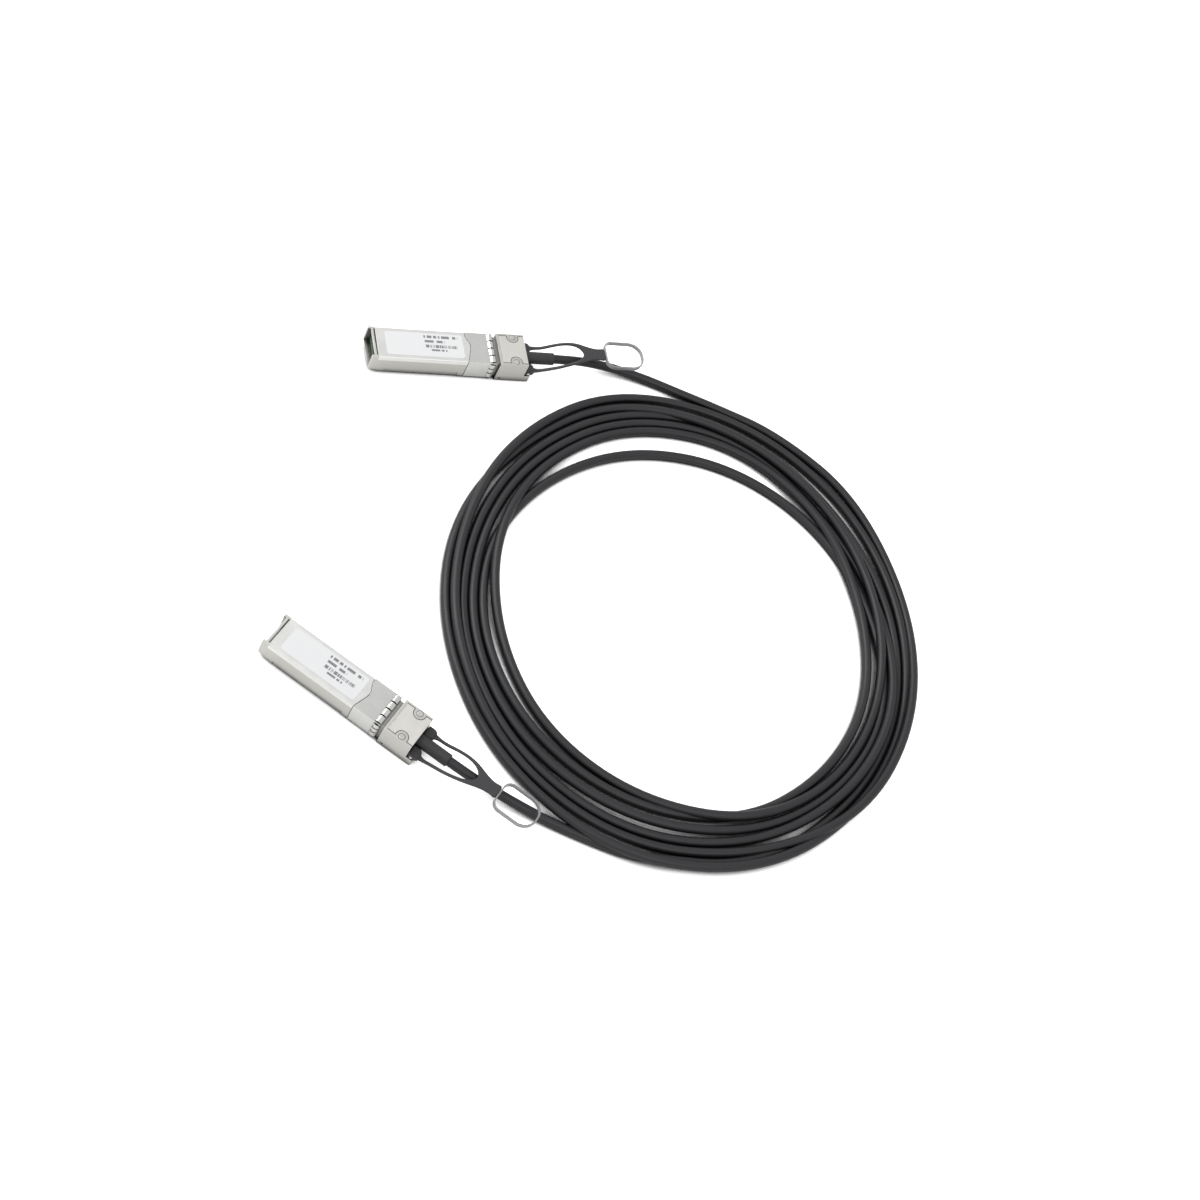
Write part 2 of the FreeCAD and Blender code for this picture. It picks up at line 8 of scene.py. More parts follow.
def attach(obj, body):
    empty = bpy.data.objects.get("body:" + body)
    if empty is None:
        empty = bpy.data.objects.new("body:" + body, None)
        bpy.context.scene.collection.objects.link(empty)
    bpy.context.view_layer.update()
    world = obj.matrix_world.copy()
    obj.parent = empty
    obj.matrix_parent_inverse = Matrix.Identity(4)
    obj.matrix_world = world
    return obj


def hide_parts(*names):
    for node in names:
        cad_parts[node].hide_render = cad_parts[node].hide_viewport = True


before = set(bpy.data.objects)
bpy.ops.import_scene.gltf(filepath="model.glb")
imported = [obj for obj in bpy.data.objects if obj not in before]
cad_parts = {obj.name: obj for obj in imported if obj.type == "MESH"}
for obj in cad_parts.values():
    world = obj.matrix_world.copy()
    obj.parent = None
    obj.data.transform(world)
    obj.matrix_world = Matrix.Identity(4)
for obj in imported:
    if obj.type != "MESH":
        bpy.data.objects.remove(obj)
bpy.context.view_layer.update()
print("frame loaded")

perMetre = 1000    # millimetres in a metre

# where the camera stands, in metres, and how it is held
camera = {
    "place": (0.0452, -0.3823, 0.6335),
    "right": (0.81180, 0.47871, 0.33441),
    "up": (-0.58337, 0.63942, 0.50083),
    "back": (0.02592, -0.60165, 0.79834),
    "lens": 66.2,
    "filmWidth": 36.0,
    "seesFrom": 0.05,
    "seesTo": 10.0,
}


def makeCamera():
    data = bpy.data.cameras.new("camera")
    data.lens = camera["lens"]
    data.sensor_width = camera["filmWidth"]
    data.clip_start = camera["seesFrom"]
    data.clip_end = camera["seesTo"]
    viewer = bpy.data.objects.new("camera", data)
    bpy.context.scene.collection.objects.link(viewer)
    turn = Matrix([Vector(camera[side]).normalized() for side in ("right", "up", "back")]).transposed()
    viewer.matrix_world = Matrix.Translation(camera["place"]) @ turn.to_4x4()
    bpy.context.scene.camera = viewer


makeCamera()
print("camera placed")

# route of the cable in millimetres, from the sleeve of plug a through the coil to the sleeve of plug b
cable = {
    "across": 3.5,
    "length": 3.6,    # metres, straightened out
    "fromPlugA": [(-44.13, 170.81, 5.5), (-40.79, 173.75, 5.5), (-34.3, 179.6, 4.9), (-24.7, 187.3, 2.8),
                  (-11.9, 193.3, 1.9), (0.5, 197.2, 1.8), (14.5, 201.7, 1.8), (41.6, 209.4, 1.8)],
    "toPlugB": [(87.3, 15.2, 1.8), (74.1, 10.6, 1.8), (54.5, 5.6, 1.85), (42.0, 3.3, 2.8),
                (29.5, 0.8, 4.7), (21.2, 0.0, 5.5), (16.75, 0.0, 5.5)],
    "middle": (54.6, 107.1),
    "firstAngle": 105,    # degrees
    "step": 30,
    # one row a turn, wound clockwise: how far each point is from the middle and how high it lies
    "turns": [
        [(102.2, 1.8), (98.4, 2.6), (92.4, 1.8), (89.2, 4.6), (90.6, 4.4), (89.4, 2.2),
         (92.4, 1.8), (90.8, 1.8), (87.6, 4.2), (86.4, 3.2), (91.4, 3.4), (100.2, 1.8)],
        [(98.6, 1.8), (94.6, 1.8), (89.0, 2.6), (87.7, 1.8), (89.2, 1.8), (95.6, 4.4),
         (99.0, 4.9), (94.0, 1.8), (90.2, 1.8), (89.4, 1.8), (89.8, 1.8), (95.8, 1.8)],
        [(90.3, 5.2), (84.4, 4.9), (78.9, 4.8), (76.9, 1.8), (76.4, 1.8), (77.9, 5.0),
         (74.0, 1.8), (72.8, 1.8), (70.9, 1.8), (74.0, 4.8), (78.3, 1.8), (84.4, 1.8)],
        [(86.4, 1.8), (78.9, 4.8), (73.0, 2.2), (71.9, 1.8), (72.2, 1.8), (76.4, 1.8),
         (77.8, 1.8), (78.0, 1.8), (77.0, 1.8), (75.4, 1.8), (72.6, 1.8), (73.6, 1.8)],
        [(75.2, 1.8), (76.2, 1.8), (76.9, 1.8), (80.3, 1.8), (80.0, 1.8), (81.4, 2.6),
         (83.4, 3.4), (83.0, 1.8), (80.8, 1.8), (78.9, 1.8), (81.9, 1.8), (87.8, 1.8)],
        [(90.0, 1.8), (81.6, 1.8), (81.4, 1.8), (82.4, 4.4), (82.8, 3.8), (85.4, 1.8),
         (88.4, 1.8), (87.6, 1.8), (84.4, 1.8), (82.5, 1.8), (85.6, 1.8), (91.6, 1.8)],
        [(93.8, 1.8), (88.0, 1.8), (85.2, 1.8), (84.0, 1.8), (86.0, 1.8), (92.9, 1.8), (97.3, 1.8)],
    ],
    # the turns settle in rounds: in each they drift back to where they are laid and push each other apart
    "rounds": 300,
    "driftBack": 0.05,
    "sinkBack": 0.03,
    "clearance": 0.02,    # over the table
    "tallest": 1.5,       # height of the highest turn's middle, in cable widths
    "smoothness": 10,
    "roundness": 5,
}


def settledCoil():
    # the turns end up one cable width apart or more, and close to where they are laid
    laid, raised = np.array([spot for row in cable["turns"] for spot in row]).T
    reach, lift = laid.copy(), raised.copy()
    across = cable["across"]
    perTurn = 360 // cable["step"]
    for _ in range(cable["rounds"]):
        reach += cable["driftBack"] * (laid - reach)
        lift += cable["sinkBack"] * (raised - lift)
        for apart in range(perTurn, len(reach), perTurn):
            outward, upward = reach[apart:] - reach[:-apart], lift[apart:] - lift[:-apart]
            gap = np.maximum(np.hypot(outward, upward), 1e-6)    # never quite zero
            push = np.maximum(across - gap, 0) / (2 * gap)
            reach[apart:] += push * outward
            reach[:-apart] -= push * outward
            lift[apart:] += push * upward
            lift[:-apart] -= push * upward
        lift = np.clip(lift, across / 2 + cable["clearance"], across * cable["tallest"])
    return reach, lift


def cableRoute():
    # the coil's first and last points only hold their neighbours apart, as the cable's two ends pass there
    reach, lift = settledCoil()
    inside = 0.75 + 0.25 * math.cos(math.radians(cable["step"]))    # a smooth line runs inside its points
    across, along = cable["middle"]
    coil = []
    for i in range(1, len(reach) - 1):
        angle = math.radians(cable["firstAngle"] - cable["step"] * i)
        far = reach[i] / inside
        coil.append((across + far * math.cos(angle), along + far * math.sin(angle), lift[i]))
    return [Vector(spot) / perMetre for spot in cable["fromPlugA"] + coil + cable["toPlugB"]]


def makeCable():
    route = cableRoute()
    data = bpy.data.curves.new("cable", "CURVE")
    data.dimensions = "3D"
    line = data.splines.new("NURBS")
    line.points.add(len(route) - 1)
    for point, place in zip(line.points, route):
        point.co = (*place, 1.0)
        # half the cable's width, so that the curve's box is no wider than its jacket
        point.radius = cable["across"] / (2 * perMetre)
    line.order_u = 3
    line.use_endpoint_u = True
    line.resolution_u = cable["smoothness"]
    data.bevel_depth = 1.0    # times the radius of each point
    data.bevel_resolution = cable["roundness"]
    data.use_fill_caps = True
    piece = bpy.data.objects.new("cable", data)
    bpy.context.scene.collection.objects.link(piece)
    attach(piece, "cable_assembly")
    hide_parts("cable_lead_a", "cable_lead_b", "cable_coil")
    return piece


cablePiece = makeCable()
print("cable coiled")

# where each plug's nose is on the table, in millimetres, and how far it is turned, in degrees
plugs = {"a": ((-98.9, 122.7), 41.3), "b": ((-56.15, 0.0), 0.0)}

# the grip of each plug in its own millimetres: x runs from the nose to the cable, y across, z up
pullTab = {
    "thick": 0.9,
    # along the plug, inner edge, outer edge, share of the climb
    "stations": [(61.0, 2.9, 6.3, 0.0), (63.0, 3.0, 6.3, 0.0), (64.4, 4.2, 6.0, 0.0),
                 (66.0, 4.75, 5.75, 0.02), (68.5, 4.5, 5.5, 0.1), (71.0, 4.6, 5.6, 0.3),
                 (73.5, 4.7, 5.65, 0.5), (76.5, 4.55, 5.5, 0.75), (79.5, 4.0, 5.05, 0.93),
                 (82.0, 2.9, 4.4, 1.0), (83.4, 1.4, 3.9, 1.0), (84.0, 0.0, 3.7, 1.0),
                 (86.5, 0.0, 2.85, 1.0), (89.0, 0.0, 2.3, 1.0), (91.0, 0.0, 2.45, 1.0),
                 (92.5, 0.0, 2.85, 1.0)],
    "rootLift": 4.5,
    "yokeLift": {"a": 10.05, "b": 7.65},
    "halvesMeet": 0.02,
    "smoothing": 2,
    "edgeRound": 0.2,
    "edgeSteps": 2,
    "sharpFrom": 50,      # degrees
    "smoothBelow": 40,
    # the blocks at the roots: two corners, how the back is drawn out and narrowed, and its rounding
    "rootLow": (60.65, 2.65, 3.5),
    "rootHigh": (63.3, 6.88, 5.7),
    "rootTail": (1.1, 0.25, -0.1),
    "rootTaper": (1, 0.62, 0.6),
    "rootRound": 0.35,
    "rootSteps": 3,
}


def plugPlace(letter):
    # turns a plug's own millimetres into metres on the table
    (x, y), turn = plugs[letter]
    place = Matrix.Translation((x / perMetre, y / perMetre, 0)) @ Matrix.Rotation(math.radians(turn), 4, "Z")
    return place @ Matrix.Scale(1 / perMetre, 4)


def addModifier(shape, kind, **settings):
    modifier = shape.modifiers.new(kind.lower(), kind)
    for name, value in settings.items():
        setattr(modifier, name, value)
    bpy.context.view_layer.objects.active = shape
    bpy.ops.object.modifier_apply(modifier=modifier.name)


def pickCorners(shape, chosen):
    bpy.ops.mesh.select_all(action="DESELECT")
    net = bmesh.from_edit_mesh(shape.data)
    net.verts.ensure_lookup_table()
    for index in chosen:
        net.verts[index].select = True
    net.select_flush(True)
    bmesh.update_edit_mesh(shape.data)


def placeCorner(shape, index, target):
    net = bmesh.from_edit_mesh(shape.data)
    net.verts.ensure_lookup_table()
    step = Vector(target) - net.verts[index].co
    pickCorners(shape, [index])
    bpy.ops.transform.translate(value=step)


def placeEdge(shape, pair, row):
    x, inner, outer, lift = row
    placeCorner(shape, pair[0], (x, inner, lift))
    placeCorner(shape, pair[1], (x, outer, lift))


def lastCorners(shape):
    # what the last extrude left selected, the inner corner first
    net = bmesh.from_edit_mesh(shape.data)
    chosen = [corner for corner in net.verts if corner.select]
    return [corner.index for corner in sorted(chosen, key=lambda corner: corner.co.y)]


def makeStrip(letter):
    # half of the strip is drawn out edge by edge from the root to the end, then mirrored and thickened
    low, high = pullTab["rootLift"], pullTab["yokeLift"][letter]
    rows = [(x, inner, outer, low + share * (high - low)) for x, inner, outer, share in pullTab["stations"]]
    bpy.ops.object.select_all(action="DESELECT")
    bpy.ops.mesh.primitive_plane_add(size=1.0, location=(0, 0, 0))
    strip = bpy.context.object
    bpy.ops.object.mode_set(mode="EDIT")
    net = bmesh.from_edit_mesh(strip.data)
    order = sorted(net.verts, key=lambda corner: (round(corner.co.x, 3), corner.co.y))
    first = [corner.index for corner in order]
    placeEdge(strip, first[:2], rows[0])
    placeEdge(strip, first[2:], rows[1])
    pair = first[2:]
    for before, row in zip(rows[1:], rows[2:]):
        pickCorners(strip, pair)
        onward = (row[0] - before[0], 0, row[3] - before[3])
        bpy.ops.mesh.extrude_region_move(TRANSFORM_OT_translate={"value": onward})
        pair = lastCorners(strip)
        placeEdge(strip, pair, row)
    bpy.ops.object.mode_set(mode="OBJECT")
    addModifier(strip, "MIRROR", use_axis=(False, True, False), merge_threshold=pullTab["halvesMeet"])
    addModifier(strip, "SUBSURF", levels=pullTab["smoothing"], render_levels=pullTab["smoothing"])
    addModifier(strip, "SOLIDIFY", thickness=pullTab["thick"], offset=0.0)
    addModifier(strip, "BEVEL", width=pullTab["edgeRound"], segments=pullTab["edgeSteps"],
                limit_method="ANGLE", angle_limit=math.radians(pullTab["sharpFrom"]))
    return strip


def makeRoots():
    # the two blocks beside the cable that hold the slide's arms
    lowCorner, highCorner = Vector(pullTab["rootLow"]), Vector(pullTab["rootHigh"])
    bpy.ops.object.select_all(action="DESELECT")
    bpy.ops.mesh.primitive_cube_add(size=1.0, location=(0, 0, 0))
    root = bpy.context.object
    bpy.ops.object.mode_set(mode="EDIT")
    bpy.ops.mesh.select_all(action="SELECT")
    bpy.ops.transform.resize(value=highCorner - lowCorner)
    bpy.ops.transform.translate(value=(lowCorner + highCorner) / 2)
    net = bmesh.from_edit_mesh(root.data)
    middle = (lowCorner.x + highCorner.x) / 2
    pickCorners(root, [corner.index for corner in net.verts if corner.co.x > middle])
    bpy.ops.mesh.extrude_region_move(TRANSFORM_OT_translate={"value": pullTab["rootTail"]})
    bpy.ops.transform.resize(value=pullTab["rootTaper"])
    bpy.ops.mesh.select_all(action="SELECT")
    bpy.ops.mesh.bevel(offset=pullTab["rootRound"], segments=pullTab["rootSteps"])
    bpy.ops.object.mode_set(mode="OBJECT")
    addModifier(root, "MIRROR", use_axis=(False, True, False), use_mirror_merge=False)
    return root


def makePullTab(letter, blocks):
    strip = makeStrip(letter)
    roots = blocks.copy()
    roots.data = blocks.data.copy()
    bpy.context.scene.collection.objects.link(roots)
    bpy.ops.object.select_all(action="DESELECT")
    roots.select_set(True)
    strip.select_set(True)
    bpy.context.view_layer.objects.active = strip
    bpy.ops.object.join()
    bpy.ops.object.mode_set(mode="EDIT")
    bpy.ops.mesh.select_all(action="SELECT")
    bpy.ops.mesh.normals_make_consistent(inside=False)
    bpy.ops.object.mode_set(mode="OBJECT")
    strip.name = strip.data.name = "pull_grip_" + letter
    strip.data.transform(plugPlace(letter))
    bpy.ops.object.shade_smooth_by_angle(angle=math.radians(pullTab["smoothBelow"]))
    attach(strip, "release_unit_" + letter)
    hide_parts("pull_tab_" + letter)
    return strip


rootBlocks = makeRoots()
tabPieces = [makePullTab(letter, rootBlocks) for letter in plugs]
bpy.data.objects.remove(rootBlocks)
print("tabs drawn out")


def fillSockets(tree, node, values):
    for name, value in values.items():
        if hasattr(value, "is_output"):
            tree.links.new(value, node.inputs[name])
        else:
            node.inputs[name].default_value = value
    return node


def addNode(tree, kind, values=None, **settings):
    node = tree.nodes.new(kind)
    for name, value in settings.items():
        setattr(node, name, value)
    return fillSockets(tree, node, values or {})


def placeGroup(tree, group, values):
    return fillSockets(tree, addNode(tree, "ShaderNodeGroup", node_tree=group), values)


def mathNode(tree, operation, *numbers):
    return addNode(tree, "ShaderNodeMath", dict(enumerate(numbers)), operation=operation).outputs[0]


def mixTones(tree, share, first, second):
    # the first colour where the share is 0, the second where it is 1
    values = {"Factor": share}
    for name, tone in (("A", first), ("B", second)):
        values[name] = (*tone, 1) if isinstance(tone, tuple) else tone
    return addNode(tree, "ShaderNodeMix", values, data_type="RGBA").outputs["Result"]


def newGroup(name, inputs, outputs):
    # inputs carry their usual value, and one without a number is a direction or a place
    group = bpy.data.node_groups.new(name, "ShaderNodeTree")
    for label, value in inputs.items():
        kind = "NodeSocketVector" if value is None else "NodeSocketFloat"
        socket = group.interface.new_socket(name=label, in_out="INPUT", socket_type=kind)
        if value is not None:
            socket.default_value = value
    for label, kind in outputs.items():
        group.interface.new_socket(name=label, in_out="OUTPUT", socket_type=kind)
    return group, group.nodes.new("NodeGroupInput").outputs, group.nodes.new("NodeGroupOutput")


def makeGrain():
    # cloudy tone and a finer height over any surface
    group, given, made = newGroup("grain", {"Vector": None, "Cloud": 300.0, "Fine": 3000.0, "Share": 0.5},
                                  {"Tone": "NodeSocketFloat", "Height": "NodeSocketFloat"})
    cloud = addNode(group, "ShaderNodeTexNoise", {"Vector": given["Vector"], "Scale": given["Cloud"],
                                                  "Detail": 3.0, "Roughness": 0.55})
    fine = addNode(group, "ShaderNodeTexNoise", {"Vector": given["Vector"], "Scale": given["Fine"],
                                                 "Detail": 4.0, "Roughness": 0.6})
    tone = addNode(group, "ShaderNodeMix", {"Factor": given["Share"], "A": cloud.outputs["Fac"],
                                            "B": fine.outputs["Fac"]})
    fillSockets(group, made, {"Tone": tone.outputs["Result"], "Height": fine.outputs["Fac"]})
    return group


def makeEdges():
    # rounds every sharp edge a little and says where the edges are
    group, given, made = newGroup("edges", {"Radius": 0.00015, "Reach": 2.0},
                                  {"Normal": "NodeSocketVector", "Edge": "NodeSocketFloat"})
    rounded = addNode(group, "ShaderNodeBevel", {"Radius": given["Radius"]}, samples=6)
    surface = addNode(group, "ShaderNodeNewGeometry")
    normals = {0: rounded.outputs["Normal"], 1: surface.outputs["Normal"]}
    between = addNode(group, "ShaderNodeVectorMath", normals, operation="DISTANCE")
    turned = mathNode(group, "MULTIPLY", between.outputs["Value"], given["Reach"])
    edge = addNode(group, "ShaderNodeClamp", {"Value": turned}).outputs["Result"]
    fillSockets(group, made, {"Normal": rounded.outputs["Normal"], "Edge": edge})
    return group


def makePaintedShade():
    # painted shade: 1 in the open, and less where a gap is narrow and little light reaches
    group, given, made = newGroup("paintedShade", {"Distance": 0.0015, "Power": 1.5}, {"Open": "NodeSocketFloat"})
    shade = addNode(group, "ShaderNodeAmbientOcclusion", {"Distance": given["Distance"]}, samples=8)
    fillSockets(group, made, {"Open": mathNode(group, "POWER", shade.outputs["AO"], given["Power"])})
    return group


def makeRows():
    # short uneven bars in one row of print: 1 where there is ink
    group, given, made = newGroup("printRow", {"Along": 0.0, "Across": 0.0, "Start": 0.0, "Length": 10.0,
                                               "Place": 0.0, "Height": 1.0, "Pitch": 0.8, "Fill": 0.7},
                                  {"Ink": "NodeSocketFloat"})
    along = mathNode(group, "SUBTRACT", given["Along"], given["Start"])
    across = mathNode(group, "SUBTRACT", given["Across"], given["Place"])
    half = mathNode(group, "MULTIPLY", given["Height"], 0.5)
    inRow = mathNode(group, "LESS_THAN", mathNode(group, "ABSOLUTE", across), half)
    inSpan = mathNode(group, "MULTIPLY", mathNode(group, "GREATER_THAN", along, 0.0),
                      mathNode(group, "LESS_THAN", along, given["Length"]))
    cell = mathNode(group, "FLOOR", mathNode(group, "DIVIDE", along, given["Pitch"]))
    seed = mathNode(group, "MULTIPLY_ADD", given["Place"], 7.3, cell)    # each row has its own bars
    chance = addNode(group, "ShaderNodeTexWhiteNoise", {"W": seed}, noise_dimensions="1D")
    inked = mathNode(group, "LESS_THAN", chance.outputs["Value"], given["Fill"])
    ink = mathNode(group, "MULTIPLY", mathNode(group, "MULTIPLY", inRow, inSpan), inked)
    fillSockets(group, made, {"Ink": ink})
    return group


def makeSeams():
    # dark joints of the rear housing: a ring round each rivet, the arc of its notch and the plate's long edges
    group, given, made = newGroup("seams", {"Along": 0.0, "Across": 0.0, "Rivet Along": 55.9,
                                            "Rivet Across": 5.65, "Rivet": 1.1, "Notch": 2.3,
                                            "Edge": 6.25, "Start": 50.5, "Width": 0.12},
                                  {"Seam": "NodeSocketFloat"})
    along = mathNode(group, "SUBTRACT", given["Along"], given["Rivet Along"])
    side = mathNode(group, "ABSOLUTE", given["Across"])
    across = mathNode(group, "SUBTRACT", side, given["Rivet Across"])
    far = mathNode(group, "SQRT", mathNode(group, "ADD", mathNode(group, "MULTIPLY", along, along),
                                           mathNode(group, "MULTIPLY", across, across)))
    onRivet = mathNode(group, "COMPARE", far, given["Rivet"], given["Width"])
    onNotch = mathNode(group, "COMPARE", far, given["Notch"], given["Width"])
    inPlate = mathNode(group, "LESS_THAN", side, given["Edge"])
    plateEdge = mathNode(group, "COMPARE", side, given["Edge"], given["Width"])
    outsideNotch = mathNode(group, "GREATER_THAN", far, given["Notch"])
    behindStart = mathNode(group, "GREATER_THAN", given["Along"], given["Start"])
    onEdge = mathNode(group, "MULTIPLY", plateEdge, mathNode(group, "MULTIPLY", outsideNotch, behindStart))
    seam = mathNode(group, "MAXIMUM", onRivet, mathNode(group, "MULTIPLY", onNotch, inPlate))
    fillSockets(group, made, {"Seam": mathNode(group, "MAXIMUM", seam, onEdge)})
    return group


grainGroup, edgesGroup, paintedShadeGroup = makeGrain(), makeEdges(), makePaintedShade()
rowGroup, seamGroup = makeRows(), makeSeams()
print("shared effects made")


def newFinish(name):
    finish = bpy.data.materials.new(name)
    finish.use_nodes = True
    tree = finish.node_tree
    return finish, tree, tree.nodes["Principled BSDF"], tree.nodes.new("ShaderNodeTexCoord").outputs["Object"]


def plugWhere(tree, where, letter):
    # a plug's own millimetres at any point of its surface
    (x, y), turn = plugs[letter]
    fromNose = addNode(tree, "ShaderNodeVectorMath", {0: where, 1: (x / perMetre, y / perMetre, 0)},
                       operation="SUBTRACT")
    own = addNode(tree, "ShaderNodeMapping", {"Vector": fromNose.outputs["Vector"], "Scale": (perMetre,) * 3,
                                              "Rotation": (0, 0, -math.radians(turn))})
    return addNode(tree, "ShaderNodeSeparateXYZ", {"Vector": own.outputs["Vector"]}).outputs


def placeGrain(tree, where, look):
    return placeGroup(tree, grainGroup, {"Vector": where, "Cloud": look["cloud"], "Fine": look["fine"],
                                         "Share": look["share"]}).outputs


def cloudyTone(tree, grain, look, low=0.0, high=1.0):
    # colour and roughness that drift with the grain
    tone = mixTones(tree, grain["Tone"], look["dark"], look["light"])
    least, most = look["rough"]
    rough = addNode(tree, "ShaderNodeMapRange", {"Value": grain["Tone"], "From Min": low, "From Max": high,
                                                 "To Min": least, "To Max": most})
    return tone, rough.outputs["Result"]


# what every plain surface shares
surfaces = {
    "grainLow": 0.3, "grainHigh": 0.7,    # the grain's tone seldom leaves this span
    "edgeReach": 2.0,
    "bumpDepth": 0.00002,
    "seamFacing": 0.7, "seamBehind": 49.4,    # seams lie on top, behind the collar
}


def surfaceFinish(name, look, letter=None):
    # one recipe for every plain surface: cloudy colour, grain, softened edges and painted shade in narrow gaps
    finish, tree, shader, where = newFinish(name)
    grain = placeGrain(tree, where, look)
    tone, rough = cloudyTone(tree, grain, look, surfaces["grainLow"], surfaces["grainHigh"])
    edges = placeGroup(tree, edgesGroup, {"Radius": look["edge"], "Reach": surfaces["edgeReach"]}).outputs
    if "worn" in look:
        tone = mixTones(tree, edges["Edge"], tone, look["worn"])
    # painted shade: the colour darkens toward the finish's darkest tone where gaps are narrow
    shadeInGaps = placeGroup(tree, paintedShadeGroup, {"Distance": look["gap"], "Power": look["gapPower"]}).outputs
    tone = mixTones(tree, shadeInGaps["Open"], look["deep"], tone)
    if letter:
        own = plugWhere(tree, where, letter)
        seams = placeGroup(tree, seamGroup, {"Along": own["X"], "Across": own["Y"]}).outputs
        normal = addNode(tree, "ShaderNodeNewGeometry").outputs["Normal"]
        facing = addNode(tree, "ShaderNodeSeparateXYZ", {"Vector": normal}).outputs
        onTop = mathNode(tree, "GREATER_THAN", facing["Z"], surfaces["seamFacing"])
        behind = mathNode(tree, "GREATER_THAN", own["X"], surfaces["seamBehind"])
        seam = mathNode(tree, "MULTIPLY", seams["Seam"], mathNode(tree, "MULTIPLY", onTop, behind))
        tone = mixTones(tree, seam, tone, look["deep"])
    bump = addNode(tree, "ShaderNodeBump", {"Height": grain["Height"], "Strength": look["bump"],
                                            "Distance": surfaces["bumpDepth"], "Normal": edges["Normal"]})
    fillSockets(tree, shader, {"Base Color": tone, "Roughness": rough, "Normal": bump.outputs["Normal"]})
    fillSockets(tree, shader, look["shader"])
    return finish


# in each finish the darkest colour is painted shade for narrow gaps, and on the housings also the colour of
# the dark seams
platedCasting = {
    "light": (0.68, 0.668, 0.64), "dark": (0.62, 0.608, 0.58), "deep": (0.03, 0.03, 0.028),
    "worn": (0.88, 0.87, 0.85), "rough": (0.34, 0.46), "cloud": 260.0, "fine": 4200.0, "share": 0.35,
    "edge": 0.00012, "gap": 0.0030, "gapPower": 1.6, "bump": 0.35, "shader": {"Metallic": 1.0},
}
foldedCover = {
    "light": (0.93, 0.925, 0.905), "dark": (0.86, 0.855, 0.835), "deep": (0.06, 0.06, 0.055),
    "worn": (0.75, 0.745, 0.73), "rough": (0.26, 0.36), "cloud": 180.0, "fine": 5200.0, "share": 0.3,
    "edge": 0.0001, "gap": 0.0008, "gapPower": 1.0, "bump": 0.2, "shader": {"Metallic": 1.0},
}
rearPlate = {
    "light": (0.84, 0.825, 0.785), "dark": (0.76, 0.745, 0.70), "deep": (0.05, 0.045, 0.04),
    "worn": (0.68, 0.67, 0.63), "rough": (0.34, 0.44), "cloud": 220.0, "fine": 4600.0, "share": 0.35,
    "edge": 0.0001, "gap": 0.0010, "gapPower": 1.2, "bump": 0.3, "shader": {"Metallic": 1.0},
}
springSheet = {
    "light": (0.78, 0.78, 0.765), "dark": (0.72, 0.72, 0.70), "deep": (0.03, 0.03, 0.03),
    "worn": (0.8, 0.8, 0.79), "rough": (0.20, 0.30), "cloud": 240.0, "fine": 3800.0, "share": 0.25,
    "edge": 0.00008, "gap": 0.0010, "gapPower": 1.4, "bump": 0.1, "shader": {"Metallic": 1.0},
}
cardMask = {
    "light": (0.018, 0.10, 0.045), "dark": (0.012, 0.075, 0.032), "deep": (0.004, 0.02, 0.01),
    "rough": (0.3, 0.42), "cloud": 400.0, "fine": 2500.0, "share": 0.4,
    "edge": 0.00005, "gap": 0.0010, "gapPower": 1.0, "bump": 0.1, "shader": {},
}
goldPlate = {
    "light": (0.80, 0.58, 0.24), "dark": (0.72, 0.50, 0.20), "deep": (0.1, 0.06, 0.02),
    "rough": (0.18, 0.3), "cloud": 800.0, "fine": 5000.0, "share": 0.4,
    "edge": 0.00003, "gap": 0.0005, "gapPower": 1.0, "bump": 0.05, "shader": {"Metallic": 1.0},
}
chipBody = {
    "light": (0.03, 0.03, 0.032), "dark": (0.02, 0.02, 0.021), "deep": (0.005, 0.005, 0.005),
    "rough": (0.45, 0.6), "cloud": 600.0, "fine": 5000.0, "share": 0.6,
    "edge": 0.00005, "gap": 0.0008, "gapPower": 1.0, "bump": 0.3, "shader": {},
}
wireSleeve = {
    "light": (0.80, 0.81, 0.84), "dark": (0.72, 0.73, 0.76), "deep": (0.2, 0.2, 0.2),
    "rough": (0.3, 0.4), "cloud": 500.0, "fine": 3000.0, "share": 0.4,
    "edge": 0.00003, "gap": 0.0010, "gapPower": 1.0, "bump": 0.05, "shader": {},
}
clampBody = {
    "light": (0.032, 0.032, 0.033), "dark": (0.022, 0.022, 0.023), "deep": (0.006, 0.006, 0.006),
    "rough": (0.45, 0.6), "cloud": 500.0, "fine": 4000.0, "share": 0.5,
    "edge": 0.0001, "gap": 0.0010, "gapPower": 1.0, "bump": 0.3, "shader": {},
}
sleeveRubber = {
    "light": (0.036, 0.035, 0.036), "dark": (0.026, 0.025, 0.026), "deep": (0.008, 0.008, 0.009),
    "rough": (0.5, 0.62), "cloud": 300.0, "fine": 2600.0, "share": 0.5,
    "edge": 0.0002, "gap": 0.0015, "gapPower": 1.0, "bump": 0.35, "shader": {"Specular IOR Level": 0.4},
}
tabPlastic = {
    "light": (0.040, 0.040, 0.043), "dark": (0.031, 0.031, 0.034), "deep": (0.010, 0.010, 0.011),
    "rough": (0.52, 0.66), "cloud": 350.0, "fine": 4200.0, "share": 0.5,
    "edge": 0.0002, "gap": 0.0015, "gapPower": 1.0, "bump": 0.5, "shader": {"Specular IOR Level": 0.45},
}
cableJacket = {
    "light": (0.020, 0.020, 0.023), "dark": (0.013, 0.013, 0.015), "deep": (0.001, 0.001, 0.0015),
    "rough": (0.38, 0.50), "cloud": 90.0, "fine": 1800.0, "share": 0.4,
    "edge": 0.0001, "gap": 0.0030, "gapPower": 1.8, "bump": 0.3, "shader": {"Specular IOR Level": 0.45},
}

